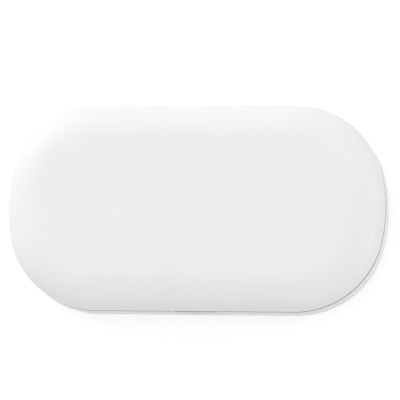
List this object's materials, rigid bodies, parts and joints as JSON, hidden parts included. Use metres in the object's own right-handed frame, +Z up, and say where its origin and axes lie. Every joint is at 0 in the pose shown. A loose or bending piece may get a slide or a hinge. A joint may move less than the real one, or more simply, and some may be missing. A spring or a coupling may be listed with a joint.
{
  "type": "uv sanitizer box for phones",
  "caption": "Oval clamshell box whose hinged lid closes over a mirrored chamber with ultraviolet lamps, clear phone rests, a front button and a finger scoop.",
  "frame": {"origin": "under the middle of the closed box, at the level of its feet", "axes": "+X along the box, towards the end with the inlet; +Y towards the hinge at the back; +Z up"},
  "size_m": [0.225, 0.1223, 0.048],
  "materials": {
    "shell": "satin-gloss white moulded plastic",
    "liner": "fine matt pale grey moulded plastic",
    "reflector": "bright metallised reflector",
    "clear_silicone": "clear silicone",
    "seal": "soft grey silicone",
    "circuit_board": "green solder mask",
    "lamp_package": "ceramic lamp package",
    "quartz": "polished quartz",
    "steel": "zinc-plated steel",
    "chip": "black moulded chip package",
    "socket_steel": "drawn stainless shell",
    "light_guide": "frosted clear rod",
    "lead_jacket": "white lead jacket",
    "foot_rubber": "matt grey rubber",
    "magnet": "nickel-plated magnet",
    "button": "satin white key cap",
    "plunger": "black switch plunger",
    "hinge": "white moulded hinge arm"
  },
  "bodies": {
    "base": {"base_shell": "shell", "base_bezel": "liner", "base_tray": "reflector", "phone_rests": "clear_silicone", "light_seal": "seal", "base_led_board": "circuit_board", "base_uvc_leds": "lamp_package", "base_windows": "quartz", "base_led_screws": "steel", "main_board": "circuit_board", "board_chips": "chip", "board_screws": "steel", "usb_socket": "socket_steel", "hall_sensor": "chip", "button_board": "circuit_board", "tact_switch": "chip", "status_led": "lamp_package", "light_pipe": "light_guide", "button_lead": "lead_jacket", "base_led_lead": "lead_jacket", "base_lead": "lead_jacket", "hinge_pin": "steel", "hinge_bush": "steel", "tray_screws": "steel", "rubber_feet": "foot_rubber", "base_magnets": "magnet"},
    "button": {"power_button": "button", "switch_plunger": "plunger"},
    "lid": {"lid_shell": "shell", "lid_frame": "liner", "lid_reflector": "reflector", "hinge_leaf": "hinge", "leaf_screws": "steel", "lid_led_board": "circuit_board", "lid_uvc_leds": "lamp_package", "lid_windows": "quartz", "lid_led_screws": "steel", "lid_screws": "steel", "lid_magnets": "magnet", "interlock_magnet": "magnet", "lid_lead": "lead_jacket"}
  },
  "joints": [
    {"name": "lid_hinge", "type": "hinge", "parent": "base", "child": "lid", "pos_m": [0, 0.0573, 0.015], "axis": [-1, 0, 0], "range_deg": [0, 100]},
    {"name": "button_press", "type": "slide", "parent": "base", "child": "button", "axis": [0, 1, 0], "range_m": [0, 0.0005], "stiffness_N_per_m": 3000}
  ]
}
